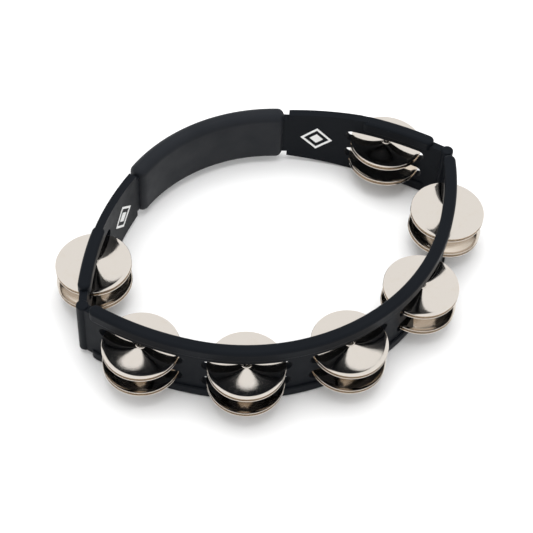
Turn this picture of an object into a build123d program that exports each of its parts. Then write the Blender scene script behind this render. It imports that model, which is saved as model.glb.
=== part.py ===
from build123d import *
from math import cos, radians, sin
import os

# Headless hand tambourine: a curved plastic ring with seven jingle stations and a soft grip.
# Millimetres. +Z is the ring's axis, the grip is at +Y, and the object rests on z = 0.
# The origin is under the middle of the whole object.

# Ring outline, seen from above: the front and the back are each one middle arc
# with a tangent arc at either side, and they meet at two corner posts.
front_y = -91.4
front_radius = 141.3
front_turn = 42.2
shoulder_radius = 201.3
shoulder_turn = 22.3
back_y = 110.4
grip_radius = 114.2
grip_turn = 32.0
side_radius = 234.07
side_turn = 29.095

# Height: everything is laid out evenly above and below the middle plane.
middle_z = 26.0
rail_top = 2 * middle_z

# Web: the upright wall that runs all the way round. The plates beside the grip
# are taller, and grow from the grip towards the side rails.
web_thickness = 5.4
web_half_height = 22.0
core_half_height = 16.5
core_reach = 66.0
plate_half_heights = (20.4, 26.0)
plate_corner = 2.5
post_radius = 4.2
post_dome = 1.2
through = 200.0

# Rails: the rounded beads over and under the jingles.
rail_width = 8.6
rail_height = 8.8
rail_edge = 1.2
rail_inner_edge = 2.2
groove_play = 0.05
groove_side = web_thickness / 2 + groove_play
front_rail_reach = 176.0
side_rail_start = 119.0
side_rail_end = 171.5

# Jingle slots: two above each other at each station, with round ends.
slot_length = 58.5
slot_height = 9.2
slot_centres = {"upper": middle_z + 8.35, "lower": middle_z - 8.35}
station_gap = 69.5
side_station = 137.5

# Jingles: thin pressed discs with a flat lip, a shallow ring-shaped hollow and a raised hub.
# Each pair lies back to back and leans outwards a little, as it falls on its loose pin.
# A lean under 3.6 degrees keeps the pair clear of its slot however far the pin is turned.
jingle_radius = 25.4
sheet = 0.5
lip_width = 1.5
hollow_radius = 15.0
hollow_curve = 35.4
hub_radius = 3.5
hub_height = 3.0
hub_edge = 0.4
hole_radius = 2.1
pair_gap = 0.2
rest_play = 0.1
lean = {
    "upper": (3.5, 1.5, 2.0, 2.5, 0.5, 1.0, 2.5),
    "lower": (3.5, 2.0, 3.5, 3.5, 3.0, 3.5, 3.5),
}

# Pins: plain steel rods that run the web's full height and are held in by the rails.
pin_radius = 1.5
pin_play = 0.05
pin_end_play = 0.1

# Grip: a soft sleeve moulded round the back of the web.
grip_half_width = 6.4
grip_reach = 62.5
grip_half_height = 21.3
grip_end_radius = 5.0
grip_edge = 5.0

# Emblems: plain raised diamonds on the two plates beside the grip.
emblem_place = 87.0
emblem_width = 23.0
emblem_height = 21.0
emblem_line = 1.6
emblem_core = 0.42
emblem_thickness = 0.35


def chain(y, first, second, upward):
    # Three tangent arcs, left to right, as (centre x, centre y, radius, first angle, last angle, upward).
    # Angles turn from the Y axis towards +X, and upward is 1 behind and -1 in front.
    radius, turn = first
    outer_radius, outer_turn = second
    shift = radius - outer_radius
    centre = y - upward * radius
    side = shift * sin(radians(turn))
    lift = centre + upward * shift * cos(radians(turn))
    return [
        (-side, lift, outer_radius, -turn - outer_turn, -turn, upward),
        (0.0, centre, radius, -turn, turn, upward),
        (side, lift, outer_radius, turn, turn + outer_turn, upward),
    ]


def arc_point(arc, angle, out=0.0):
    x, y, radius, _, _, upward = arc
    reach = radius + out
    return (x + reach * sin(radians(angle)), y + upward * reach * cos(radians(angle)))


def arc_length(arc):
    return arc[2] * radians(arc[4] - arc[3])


front = chain(front_y, (front_radius, front_turn), (shoulder_radius, shoulder_turn), -1)
back = chain(back_y, (grip_radius, grip_turn), (side_radius, side_turn), 1)


def locate(path, distance):
    # The arc and angle at a distance along the path from its middle, positive towards +X.
    start = -sum(arc_length(arc) for arc in path) / 2
    for arc in path:
        if distance <= start + arc_length(arc) or arc is path[-1]:
            return arc, arc[3] + (distance - start) / radians(1) / arc[2]
        start += arc_length(arc)


def stretch(path, low, high):
    # The part of the path between two distances from its middle.
    first, low_angle = locate(path, low)
    last, high_angle = locate(path, high)
    pieces = []
    for arc in path[path.index(first):path.index(last) + 1]:
        start = low_angle if arc is first else arc[3]
        end = high_angle if arc is last else arc[4]
        pieces.append(arc[:3] + (start, end, arc[5]))
    return pieces


def side_edge(arc, out):
    angles = (arc[3], (arc[3] + arc[4]) / 2, arc[4])
    return ThreePointArc(*[arc_point(arc, angle, out) for angle in angles])


def strip(pieces, inner, outer):
    # A flat band along the path, from one offset to the other, with square ends.
    edges = [side_edge(arc, inner) for arc in pieces]
    edges += [side_edge(arc, outer) for arc in pieces]
    for arc, angle in ((pieces[0], pieces[0][3]), (pieces[-1], pieces[-1][4])):
        edges.append(Line(arc_point(arc, angle, inner), arc_point(arc, angle, outer)))
    return make_face(edges)


def standing(path, distance, height):
    # A place on the path: local X runs along the path, local Y points out of the ring.
    arc, angle = locate(path, distance)
    x, y = arc_point(arc, angle)
    turn = -angle if arc[5] > 0 else 180 + angle
    return Location((x, y, height), (0, 0, turn))


def between(sketch, low, high):
    return Pos(0, 0, low) * extrude(sketch, high - low)


stations = [
    standing(back, -side_station, 0),
    standing(front, -2 * station_gap, 0),
    standing(front, -station_gap, 0),
    standing(front, 0, 0),
    standing(front, station_gap, 0),
    standing(front, 2 * station_gap, 0),
    standing(back, side_station, 0),
]


def wall(path, low, high, half_height):
    # A stretch of the upright wall, as tall above the middle plane as below it.
    half = web_thickness / 2
    band = strip(stretch(path, low, high), -half, half)
    return between(band, middle_z - half_height, middle_z + half_height)


def make_plate():
    # The plate to the right of the grip: its top and bottom edges spread apart towards the side rail.
    plate_end = side_rail_start + rail_width / 2 - groove_play
    near, far = plate_half_heights
    near_x = arc_point(*locate(back, core_reach))[0] - web_thickness
    far_x = arc_point(*locate(back, side_rail_start))[0]
    end_x = far_x + rail_width
    outline = Polygon(
        (near_x, -near), (far_x, -far), (end_x, -far), (end_x, far), (far_x, far), (near_x, near), align=None
    )
    outline = fillet(outline.vertices().sort_by(Axis.X)[:2], plate_corner)
    prism = Pos(0, 0, middle_z) * extrude(Plane.XZ * outline, -through)
    return wall(back, core_reach, plate_end, middle_z) & prism


def make_web():
    back_reach = sum(arc_length(arc) for arc in back) / 2
    front_reach = sum(arc_length(arc) for arc in front) / 2
    web = wall(front, -front_reach, front_reach, web_half_height)
    plate = make_plate()
    for side in (plate, mirror(plate, Plane.YZ)):
        web += side
    plate_end = side_rail_start + rail_width / 2 - groove_play
    web += wall(back, plate_end, back_reach, web_half_height)
    web += wall(back, -back_reach, -plate_end, web_half_height)
    web += wall(back, -core_reach - web_thickness, core_reach + web_thickness, core_half_height)
    for side in (-1, 1):
        x, y = arc_point(front[-1], front[-1][4])
        post = Pos(side * x, y, middle_z - web_half_height) * Cylinder(
            post_radius, 2 * web_half_height + post_dome, align=(Align.CENTER, Align.CENTER, Align.MIN)
        )
        web += fillet(post.edges().sort_by(Axis.Z)[-1], post_dome)
    slot = extrude(SlotOverall(slot_length, slot_height), rail_width, both=True)
    for place in stations:
        for height in slot_centres.values():
            web -= place * Pos(0, 0, height) * Rot(90, 0, 0) * slot
        web -= place * Cylinder(pin_radius + pin_play, through)
    return web


def make_rail(path, low, high):
    # One top bead, with half-round ends, and a groove that the web's edge sits in.
    half = rail_width / 2
    pieces = stretch(path, low + half, high - half)
    plan = strip(pieces, -half, half)
    for arc, angle in ((pieces[0], pieces[0][3]), (pieces[-1], pieces[-1][4])):
        plan += Pos(*arc_point(arc, angle)) * Circle(half)
    bead = between(plan, rail_top - rail_height, rail_top)
    bead = fillet(bead.faces().sort_by(Axis.Z)[-1].edges(), rail_inner_edge)
    bead = fillet(bead.faces().sort_by(Axis.Z)[0].edges(), rail_edge)
    groove = strip(stretch(path, low - rail_width, high + rail_width), -groove_side, groove_side)
    return bead - between(groove, 0, middle_z + web_half_height + groove_play)


def make_side_rail():
    # The right rail: the end next to the plate is open, because the taller plate runs into it.
    rail = make_rail(back, side_rail_start, side_rail_end)
    opening = stretch(back, side_rail_start - rail_width, side_rail_start + rail_width / 2)
    return rail - between(strip(opening, -groove_side, groove_side), 0, through)


def make_grip():
    plan = strip(stretch(back, -grip_reach, grip_reach), -grip_half_width, grip_half_width)
    plan = fillet(plan.vertices(), grip_end_radius)
    sleeve = between(plan, middle_z - grip_half_height, middle_z + grip_half_height)
    sleeve = fillet(sleeve.faces().sort_by(Axis.Z)[-1].edges(), grip_edge)
    sleeve = fillet(sleeve.faces().sort_by(Axis.Z)[0].edges(), grip_edge)
    return sleeve - wall(back, -core_reach, core_reach, core_half_height)


def make_emblem(side):
    # A diamond outline with a small solid diamond in it, on the web's inner face.
    outline = Polygon(
        (-emblem_width / 2, 0), (0, -emblem_height / 2), (emblem_width / 2, 0), (0, emblem_height / 2)
    )
    core = scale(outline, emblem_core)
    figure = outline - offset(outline, -emblem_line) + core
    prism = extrude(figure, rail_width, both=True)
    face = -web_thickness / 2
    skin_plan = strip(stretch(back, emblem_place - emblem_width, emblem_place + emblem_width),
                      face - emblem_thickness, face)
    skin = between(skin_plan, 0, rail_top)
    prism = standing(back, emblem_place, middle_z) * Rot(90, 0, 0) * prism
    emblem = prism & skin
    return mirror(emblem, Plane.YZ) if side < 0 else emblem


def make_jingle():
    # The disc is drawn hollow side down, with its lowest point on z = 0, and spun about Z.
    def height(radius):
        return hollow_curve - (hollow_curve ** 2 - (radius - hollow_radius) ** 2) ** 0.5

    lip = jingle_radius - lip_width
    lip_height = height(lip)
    hub_base = height(hub_radius)
    curve = ThreePointArc((hub_radius, hub_base), (hollow_radius, 0), (lip, lip_height))
    upper = ThreePointArc(
        (hub_radius, hub_base + sheet), (hollow_radius, sheet), (lip, lip_height + sheet)
    )
    section = make_face([
        curve,
        Line((lip, lip_height), (jingle_radius, lip_height)),
        Line((jingle_radius, lip_height), (jingle_radius, lip_height + sheet)),
        Line((jingle_radius, lip_height + sheet), (lip, lip_height + sheet)),
        upper,
        Line((hub_radius, hub_base + sheet), (hub_radius, hub_height - hub_edge)),
        ThreePointArc(
            (hub_radius, hub_height - hub_edge),
            (hub_radius - hub_edge * (1 - sin(radians(45))), hub_height - hub_edge * (1 - cos(radians(45)))),
            (hub_radius - hub_edge, hub_height),
        ),
        Line((hub_radius - hub_edge, hub_height), (hole_radius, hub_height)),
        Line((hole_radius, hub_height), (hole_radius, hub_base)),
        Line((hole_radius, hub_base), (hub_radius, hub_base)),
    ])
    return revolve(Plane.XZ * section, Axis.Z)


parts = {"web_ring": make_web(), "grip_sleeve": make_grip()}

rails = {"front": make_rail(front, -front_rail_reach, front_rail_reach), "right": make_side_rail()}
rails["left"] = mirror(rails["right"], Plane.YZ)
# Each bottom rail is the opposite side's top rail, turned over.
turned_over = Pos(0, 0, rail_top) * Rot(0, 180, 0)
for side, opposite in (("front", "front"), ("right", "left"), ("left", "right")):
    parts[f"{side}_top_rail"] = rails[side]
    parts[f"{side}_bottom_rail"] = turned_over * rails[opposite]

parts["left_emblem"] = make_emblem(-1)
parts["right_emblem"] = make_emblem(1)

pin = Pos(0, 0, middle_z) * Cylinder(pin_radius, 2 * (web_half_height - pin_end_play))
top_jingle = make_jingle()
bottom_jingle = mirror(top_jingle, Plane.XY)

for number, place in enumerate(stations, start=1):
    parts[f"pin_{number}"] = place * pin
    for slot_name, slot_centre in slot_centres.items():
        angle = lean[slot_name][number - 1]
        pair_half = hub_height + pair_gap / 2
        lift = pair_half * cos(radians(angle)) + web_thickness / 2 * sin(radians(angle))
        middle = slot_centre - slot_height / 2 + rest_play + lift
        pair = place * Pos(0, 0, middle) * Rot(-angle, 0, 0)
        parts[f"jingle_{number}_{slot_name}_a"] = pair * Pos(0, 0, pair_gap / 2) * top_jingle
        parts[f"jingle_{number}_{slot_name}_b"] = pair * Pos(0, 0, -pair_gap / 2) * bottom_jingle

os.makedirs("parts", exist_ok=True)
for name, shape in parts.items():
    export_step(shape, f"parts/{name}.step")
    box = shape.bounding_box()
    print(f"{name}: {shape.volume / 1000:.2f} cm3, x {box.min.X:.1f} to {box.max.X:.1f},"
          f" y {box.min.Y:.1f} to {box.max.Y:.1f}, z {box.min.Z:.1f} to {box.max.Z:.1f}")
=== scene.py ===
import bpy
import math
import random
from mathutils import Matrix, Vector


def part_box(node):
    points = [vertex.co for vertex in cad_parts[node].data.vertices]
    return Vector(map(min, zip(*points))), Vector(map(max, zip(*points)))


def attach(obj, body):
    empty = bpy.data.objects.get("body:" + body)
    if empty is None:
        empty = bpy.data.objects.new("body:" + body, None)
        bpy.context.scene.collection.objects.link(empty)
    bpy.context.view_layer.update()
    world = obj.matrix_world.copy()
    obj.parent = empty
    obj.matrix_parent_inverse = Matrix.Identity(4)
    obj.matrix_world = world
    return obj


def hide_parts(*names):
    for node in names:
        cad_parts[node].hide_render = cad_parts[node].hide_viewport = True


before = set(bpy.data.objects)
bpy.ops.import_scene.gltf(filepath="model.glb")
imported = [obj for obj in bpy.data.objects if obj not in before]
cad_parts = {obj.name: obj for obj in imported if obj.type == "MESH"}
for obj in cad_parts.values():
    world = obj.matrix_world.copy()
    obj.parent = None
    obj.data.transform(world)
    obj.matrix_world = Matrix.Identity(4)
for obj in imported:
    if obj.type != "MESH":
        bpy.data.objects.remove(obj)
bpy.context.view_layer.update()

print("frame loaded:", len(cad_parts), "nodes")
random.seed(28)
scene = bpy.context.scene


def deselectAll():
    if bpy.context.object and bpy.context.object.mode != "OBJECT":
        bpy.ops.object.mode_set(mode="OBJECT")
    bpy.ops.object.select_all(action="DESELECT")


def editMode():
    bpy.ops.object.mode_set(mode="EDIT")


def objectMode():
    bpy.ops.object.mode_set(mode="OBJECT")


def keepAt(piece, name, body, material, nodes):
    # names a finished piece, gives it its finish and ties it to the frame
    piece.name = name
    piece.data.name = name
    piece.data.materials.clear()
    piece.data.materials.append(material)
    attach(piece, body)
    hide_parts(*nodes)


cameraSetup = {
    "target": (-0.01193, -0.00592, 0.0249),
    "distance": 1.0399,
    "elevation": 52.2,
    "azimuth": -32.99,
    "roll": 3.74,
    "lens": 104.03,
    "sensor": 36.0,
}


def makeCamera(setup):
    azimuth = math.radians(setup["azimuth"])
    elevation = math.radians(setup["elevation"])
    roll = math.radians(setup["roll"])
    back = Vector((
        math.sin(azimuth) * math.cos(elevation),
        -math.cos(azimuth) * math.cos(elevation),
        math.sin(elevation),
    ))
    right = (-back).cross(Vector((0, 0, 1))).normalized()
    up = right.cross(-back)
    tiltedRight = right * math.cos(roll) + up * math.sin(roll)
    tiltedUp = up * math.cos(roll) - right * math.sin(roll)
    data = bpy.data.cameras.new("studioCamera")
    data.lens = setup["lens"]
    data.sensor_width = setup["sensor"]
    data.clip_start = 0.05
    camera = bpy.data.objects.new("studioCamera", data)
    scene.collection.objects.link(camera)
    place = Matrix((tiltedRight, tiltedUp, back)).transposed().to_4x4()
    place.translation = Vector(setup["target"]) + back * setup["distance"]
    camera.matrix_world = place
    scene.camera = camera


lightSetup = {
    "world": 1.0,
    "topSize": 0.9,
    "topHeight": 1.1,
    "topPlace": (0.05, 0.15),
    "topPower": 9.0,
}


def makeLight(name, place, target, size, power, glossy):
    data = bpy.data.lights.new(name, "AREA")
    data.shape = "SQUARE"
    data.size = size
    data.energy = power
    light = bpy.data.objects.new(name, data)
    scene.collection.objects.link(light)
    light.location = place
    light.rotation_mode = "QUATERNION"
    light.rotation_quaternion = (Vector(target) - Vector(place)).to_track_quat("-Z", "Y")
    light.visible_glossy = glossy
    return light


def makeStudio(setup):
    world = bpy.data.worlds.new("studioWorld")
    world.use_nodes = True
    scene.world = world
    tree = world.node_tree
    back = tree.nodes["Background"]
    back.inputs["Color"].default_value = (1.0, 1.0, 1.0, 1.0)
    back.inputs["Strength"].default_value = setup["world"]
    place = (*setup["topPlace"], setup["topHeight"])
    makeLight("topLight", place, (0, 0, 0), setup["topSize"], setup["topPower"], False)


def makeFloor():
    deselectAll()
    bpy.ops.mesh.primitive_plane_add(size=12, location=(0, 0, 0))
    floor = bpy.context.object
    floor.name = "studioFloor"
    material = bpy.data.materials.new("paleFloor")
    material.use_nodes = True
    shader = material.node_tree.nodes["Principled BSDF"]
    shader.inputs["Base Color"].default_value = (0.9, 0.9, 0.9, 1.0)
    shader.inputs["Roughness"].default_value = 0.9
    shader.inputs["Specular IOR Level"].default_value = 0.1
    floor.data.materials.append(material)


makeCamera(cameraSetup)
makeStudio(lightSetup)
makeFloor()
scene.view_settings.view_transform = "Standard"
print("camera, light and floor ready")


def newFinish(name):
    material = bpy.data.materials.new(name)
    material.use_nodes = True
    tree = material.node_tree
    return material, tree, tree.nodes["Principled BSDF"]


def noiseFrom(tree, source, scale, detail, roughness=0.5):
    node = tree.nodes.new("ShaderNodeTexNoise")
    node.inputs["Scale"].default_value = scale
    node.inputs["Detail"].default_value = detail
    node.inputs["Roughness"].default_value = roughness
    tree.links.new(source, node.inputs["Vector"])
    return node.outputs["Fac"]


def spread(tree, source, low, high, outLow, outHigh):
    node = tree.nodes.new("ShaderNodeMapRange")
    node.inputs["From Min"].default_value = low
    node.inputs["From Max"].default_value = high
    node.inputs["To Min"].default_value = outLow
    node.inputs["To Max"].default_value = outHigh
    tree.links.new(source, node.inputs["Value"])
    return node.outputs["Result"]


def blendColours(tree, factor, first, second):
    node = tree.nodes.new("ShaderNodeMix")
    node.data_type = "RGBA"
    node.inputs["A"].default_value = (*first, 1.0)
    node.inputs["B"].default_value = (*second, 1.0)
    tree.links.new(factor, node.inputs["Factor"])
    return node.outputs["Result"]


def bumpFrom(tree, height, strength, distance, below=None):
    node = tree.nodes.new("ShaderNodeBump")
    node.inputs["Strength"].default_value = strength
    node.inputs["Distance"].default_value = distance
    tree.links.new(height, node.inputs["Height"])
    if below is not None:
        tree.links.new(below, node.inputs["Normal"])
    return node.outputs["Normal"]


plasticLook = {
    "dark": (0.0050, 0.0062, 0.0082),
    "light": (0.0080, 0.0096, 0.0124),
    "specular": 0.05,
    "grainScale": 1500.0,
    "grainDepth": 0.00006,
    "patchScale": 26.0,
    "markRatio": 2.3,
}


def makePlastic(name, look, smooth, rough, grainStrength):
    # moulded black plastic with a fine pebbled grain and faint cloudy handling marks
    material, tree, shader = newFinish(name)
    place = tree.nodes.new("ShaderNodeTexCoord").outputs["Object"]
    patches = noiseFrom(tree, place, look["patchScale"], 4.0)
    colour = blendColours(tree, patches, look["dark"], look["light"])
    tree.links.new(colour, shader.inputs["Base Color"])
    marks = noiseFrom(tree, place, look["patchScale"] * look["markRatio"], 5.0, 0.6)
    roughness = spread(tree, marks, 0.3, 0.7, smooth, rough)
    tree.links.new(roughness, shader.inputs["Roughness"])
    grain = noiseFrom(tree, place, look["grainScale"], 2.0)
    normal = bumpFrom(tree, grain, grainStrength, look["grainDepth"])
    tree.links.new(normal, shader.inputs["Normal"])
    shader.inputs["Specular IOR Level"].default_value = look["specular"]
    return material


rubberLook = {
    "dark": (0.0056, 0.0070, 0.0098),
    "light": (0.0090, 0.0108, 0.0145),
    "specular": 0.22,
    "smooth": 0.50,
    "rough": 0.64,
    "grainScale": 2200.0,
    "grainDepth": 0.00005,
}


def makeRubber(look):
    material, tree, shader = newFinish("softRubber")
    place = tree.nodes.new("ShaderNodeTexCoord").outputs["Object"]
    patches = noiseFrom(tree, place, 18.0, 3.0)
    tree.links.new(
        blendColours(tree, patches, look["dark"], look["light"]),
        shader.inputs["Base Color"],
    )
    marks = noiseFrom(tree, place, 60.0, 4.0)
    roughness = spread(tree, marks, 0.3, 0.7, look["smooth"], look["rough"])
    tree.links.new(roughness, shader.inputs["Roughness"])
    grain = noiseFrom(tree, place, look["grainScale"], 2.0)
    wide = noiseFrom(tree, place, 420.0, 2.0)
    normal = bumpFrom(tree, grain, 0.5, look["grainDepth"])
    normal = bumpFrom(tree, wide, 0.25, look["grainDepth"], normal)
    tree.links.new(normal, shader.inputs["Normal"])
    shader.inputs["Specular IOR Level"].default_value = look["specular"]
    return material


nickelLook = {
    "clean": (0.740, 0.690, 0.632),
    "warm": (0.660, 0.560, 0.430),
    "smooth": 0.055,
    "rough": 0.13,
    "lathePitch": 0.00022,
    "latheDepth": 0.0000015,
}


def makeNickel(look):
    # polished nickel with faint turned rings, handling haze and a warmer tint in patches
    material, tree, shader = newFinish("jingleNickel")
    layout = tree.nodes.new("ShaderNodeUVMap")
    layout.uv_map = "discLayout"
    place = layout.outputs["UV"]
    patches = noiseFrom(tree, place, 90.0, 4.0, 0.6)
    warmth = spread(tree, patches, 0.50, 0.80, 0.0, 0.22)
    tree.links.new(
        blendColours(tree, warmth, look["clean"], look["warm"]),
        shader.inputs["Base Color"],
    )
    marks = noiseFrom(tree, place, 260.0, 5.0, 0.65)
    haze = spread(tree, marks, 0.35, 0.75, look["smooth"], look["rough"])
    tree.links.new(haze, shader.inputs["Roughness"])
    length = tree.nodes.new("ShaderNodeVectorMath")
    length.operation = "LENGTH"
    tree.links.new(place, length.inputs[0])
    rings = tree.nodes.new("ShaderNodeMath")
    rings.operation = "SINE"
    turns = tree.nodes.new("ShaderNodeMath")
    turns.operation = "MULTIPLY"
    turns.inputs[1].default_value = 2 * math.pi / look["lathePitch"]
    tree.links.new(length.outputs["Value"], turns.inputs[0])
    tree.links.new(turns.outputs["Value"], rings.inputs[0])
    normal = bumpFrom(tree, rings.outputs["Value"], 0.35, look["latheDepth"])
    tree.links.new(normal, shader.inputs["Normal"])
    shader.inputs["Metallic"].default_value = 1.0
    return material


steelLook = {"dark": (0.42, 0.41, 0.40), "light": (0.60, 0.59, 0.57), "smooth": 0.24, "rough": 0.40}


def makeSteel(look):
    material, tree, shader = newFinish("pinSteel")
    place = tree.nodes.new("ShaderNodeTexCoord").outputs["Object"]
    grain = noiseFrom(tree, place, 700.0, 3.0)
    tree.links.new(
        blendColours(tree, grain, look["dark"], look["light"]),
        shader.inputs["Base Color"],
    )
    tree.links.new(
        spread(tree, grain, 0.3, 0.7, look["smooth"], look["rough"]),
        shader.inputs["Roughness"],
    )
    tree.links.new(bumpFrom(tree, grain, 0.2, 0.00002), shader.inputs["Normal"])
    shader.inputs["Metallic"].default_value = 1.0
    return material


printLook = {"clean": (0.86, 0.86, 0.85), "worn": (0.62, 0.62, 0.62)}


def makePrint(look):
    material, tree, shader = newFinish("whitePrint")
    place = tree.nodes.new("ShaderNodeTexCoord").outputs["Object"]
    wear = spread(tree, noiseFrom(tree, place, 900.0, 4.0, 0.6), 0.60, 0.80, 0.0, 1.0)
    tree.links.new(
        blendColours(tree, wear, look["clean"], look["worn"]),
        shader.inputs["Base Color"],
    )
    tree.links.new(spread(tree, wear, 0.0, 1.0, 0.42, 0.60), shader.inputs["Roughness"])
    return material


finishes = {
    "black_plastic": makePlastic("framePlastic", plasticLook, 0.34, 0.48, 0.35),
    "rail_plastic": makePlastic("railPlastic", plasticLook, 0.30, 0.44, 0.60),
    "soft_rubber": makeRubber(rubberLook),
    "jingle_nickel": makeNickel(nickelLook),
    "pin_steel": makeSteel(steelLook),
    "white_print": makePrint(printLook),
}

nodeFinish = {"web_ring": "black_plastic"}
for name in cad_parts:
    if name.endswith("_rail"):
        nodeFinish[name] = "rail_plastic"
    if name.startswith("pin_"):
        nodeFinish[name] = "pin_steel"
    if name.endswith("_emblem"):
        nodeFinish[name] = "white_print"
for name, finish in nodeFinish.items():
    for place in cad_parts[name].material_slots:
        place.material = finishes[finish]
print("finishes ready:", len(finishes))


jingleShape = {
    "steps": 112,
    "radius": 0.0254,
    "sheet": 0.0005,
    "lipWidth": 0.0015,
    "hollowRadius": 0.0150,
    "hollowCurve": 0.0354,
    "hubRadius": 0.0035,
    "hubHeight": 0.0030,
    "hubRound": 0.0007,
    "holeRadius": 0.0021,
    "edgeRound": 0.00018,
    "curveSteps": 18,
}


def discProfile(shape):
    # points (radius, height) round the section of one disc, hollow side down
    def height(reach):
        bend = shape["hollowCurve"]
        return bend - math.sqrt(bend ** 2 - (reach - shape["hollowRadius"]) ** 2)

    radius = shape["radius"]
    sheet = shape["sheet"]
    edge = shape["edgeRound"]
    lip = radius - shape["lipWidth"]
    lipHeight = height(lip)
    hub = shape["hubRadius"]
    top = shape["hubHeight"]
    hole = shape["holeRadius"]
    steps = shape["curveSteps"]
    curve = [hub + (lip - hub) * step / steps for step in range(steps + 1)]
    points = [(reach, height(reach)) for reach in curve]
    points += [(radius - edge, lipHeight), (radius, lipHeight + edge)]
    points += [(radius, lipHeight + sheet - edge), (radius - edge, lipHeight + sheet)]
    points += [(reach, height(reach) + sheet) for reach in reversed(curve)]
    half = (hub - hole) / 2
    crown = [math.radians(angle) for angle in (0, 30, 60, 90, 120, 150, 180)]
    lift = shape["hubRound"]
    points += [
        (hub - half + half * math.cos(turn), top - lift + lift * math.sin(turn))
        for turn in crown
    ]
    points += [(hole, height(hub))]
    return points


def turnDisc(shape):
    points = discProfile(shape)
    deselectAll()
    bpy.ops.mesh.primitive_circle_add(
        vertices=shape["steps"], radius=points[0][0], location=(0, 0, 0), fill_type="NOTHING"
    )
    disc = bpy.context.object
    editMode()
    bpy.ops.mesh.select_all(action="SELECT")
    bpy.ops.transform.translate(value=(0, 0, points[0][1]))
    for last, new in zip(points, points[1:] + points[:1]):
        bpy.ops.mesh.extrude_region()
        grow = new[0] / last[0]
        bpy.ops.transform.resize(value=(grow, grow, 1), center_override=(0, 0, 0))
        bpy.ops.transform.translate(value=(0, 0, new[1] - last[1]))
    bpy.ops.mesh.select_all(action="SELECT")
    bpy.ops.mesh.remove_doubles(threshold=0.000002)
    bpy.ops.mesh.normals_make_consistent(inside=False)
    objectMode()
    bpy.ops.object.shade_smooth_by_angle(angle=math.radians(40))
    layout = disc.data.uv_layers.new(name="discLayout")
    for loop in disc.data.loops:
        spot = disc.data.vertices[loop.vertex_index].co
        layout.data[loop.index].uv = (spot.x, spot.y)
    return disc


def discAxis(node, flip):
    # the node's own axis, leaning or not, and the point on it where the hollow side is lowest
    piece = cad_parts[node]
    turned = piece.matrix_world.to_3x3()
    axis = Vector((0, 0, 0))
    centre = Vector((0, 0, 0))
    area = 0.0
    for face in piece.data.polygons:
        normal = turned @ face.normal
        centre += piece.matrix_world @ face.center * face.area
        area += face.area
        if normal.z > 0.5:
            axis += normal * face.area
    axis.normalize()
    centre /= area
    reaches = [(piece.matrix_world @ spot.co - centre).dot(axis) for spot in piece.data.vertices]
    base = max(reaches) if flip else min(reaches)
    return (-axis if flip else axis), centre + axis * base


def placeDisc(master, node, flip):
    axis, spot = discAxis(node, flip)
    deselectAll()
    master.select_set(True)
    bpy.context.view_layer.objects.active = master
    bpy.ops.object.duplicate()
    disc = bpy.context.object
    turn = Matrix.Rotation(random.uniform(0, 2 * math.pi), 4, "Z")
    lean = Vector((0, 0, 1)).rotation_difference(axis).to_matrix().to_4x4()
    disc.matrix_world = Matrix.Translation(spot) @ lean @ turn
    bpy.ops.object.transform_apply(location=True, rotation=True, scale=True)
    return disc


jingleNodes = sorted(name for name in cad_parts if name.startswith("jingle_"))
master = turnDisc(jingleShape)
for name in jingleNodes:
    flip = name.endswith("_b")
    disc = placeDisc(master, name, flip)
    keepAt(disc, name + "_disc", name, finishes["jingle_nickel"], [name])
bpy.data.objects.remove(master)
print("jingles turned:", len(jingleNodes))


gripShape = {
    "arcRadius": 0.1142,
    "reach": 0.0625,
    "steps": 44,
    "halfWidth": 0.0064,
    "halfHeight": 0.0213,
    "corner": 0.0050,
    "cornerSteps": 8,
    "endRound": 0.0048,
    "endSteps": 7,
    "fill": 0.95,
}


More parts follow.
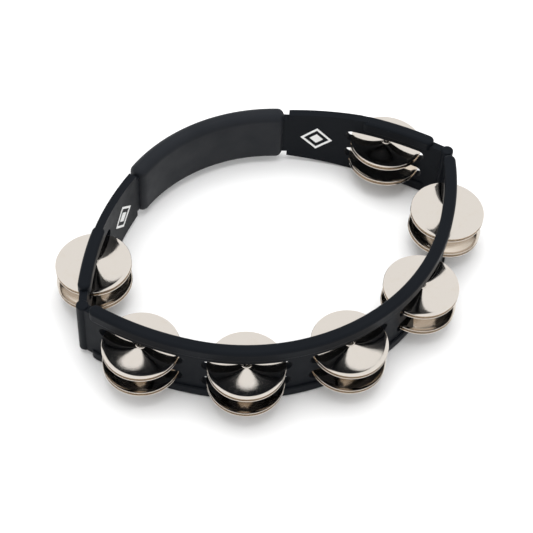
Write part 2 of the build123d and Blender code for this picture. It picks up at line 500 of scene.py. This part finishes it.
def gripRings(shape):
    # (angle, inset) for each ring of the sleeve, drawn in at both ends
    half = shape["reach"] / shape["arcRadius"]
    rings = []
    for step in range(shape["endSteps"] + 1):
        turn = math.pi / 2 * step / shape["endSteps"]
        along = shape["endRound"] * (1 - math.cos(turn)) / shape["arcRadius"]
        rings.append((along - half, shape["endRound"] * (1 - math.sin(turn))))
    start = rings[-1][0]
    middle = [(start - 2 * start * step / shape["steps"], 0.0) for step in range(1, shape["steps"])]
    return rings + middle + [(-angle, inset) for angle, inset in reversed(rings)]


def makeGrip(shape):
    # the rounded section is drawn upright on the Y axis, then carried round the arc ring by ring
    low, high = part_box("grip_sleeve")
    width = shape["halfWidth"]
    height = shape["halfHeight"]
    centre = (0, high.y - width - shape["arcRadius"], (low.z + high.z) / 2)
    section = (0, shape["arcRadius"], 0)
    deselectAll()
    bpy.ops.mesh.primitive_plane_add(size=2, location=(0, 0, 0))
    grip = bpy.context.object
    editMode()
    bpy.ops.mesh.select_all(action="SELECT")
    bpy.ops.transform.resize(value=(width, height, 1), center_override=(0, 0, 0))
    bpy.ops.mesh.bevel(offset=shape["corner"], segments=shape["cornerSteps"], affect="VERTICES")
    bpy.ops.transform.rotate(value=math.pi / 2, orient_axis="X", center_override=(0, 0, 0))
    bpy.ops.transform.rotate(value=math.pi / 2, orient_axis="Z", center_override=(0, 0, 0))
    bpy.ops.transform.translate(value=section)
    rings = gripRings(shape)
    turned, drawn = 0.0, 0.0
    for number, (angle, inset) in enumerate(rings):
        if number:
            bpy.ops.mesh.extrude_region()
        # back to the Y axis, drawn in, then on to its own place
        bpy.ops.transform.rotate(value=-turned, orient_axis="Z", center_override=(0, 0, 0))
        narrow = (width - inset) / (width - drawn)
        short = (height - inset) / (height - drawn)
        bpy.ops.transform.resize(value=(1, narrow, short), center_override=section)
        bpy.ops.transform.rotate(value=angle, orient_axis="Z", center_override=(0, 0, 0))
        turned, drawn = angle, inset
    bpy.ops.mesh.select_all(action="SELECT")
    bpy.ops.transform.translate(value=centre)
    bpy.ops.mesh.remove_doubles(threshold=0.000005)
    bpy.ops.mesh.normals_make_consistent(inside=False)
    objectMode()
    bpy.ops.object.shade_smooth_by_angle(angle=math.radians(50))
    return grip


grip = makeGrip(gripShape)
keepAt(grip, "grip_sleeve_pad", "frame", finishes["soft_rubber"], ["grip_sleeve"])
gripLow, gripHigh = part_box("grip_sleeve")
print("grip made:", len(grip.data.vertices), "points, outer edge at", round(gripHigh.y, 4))
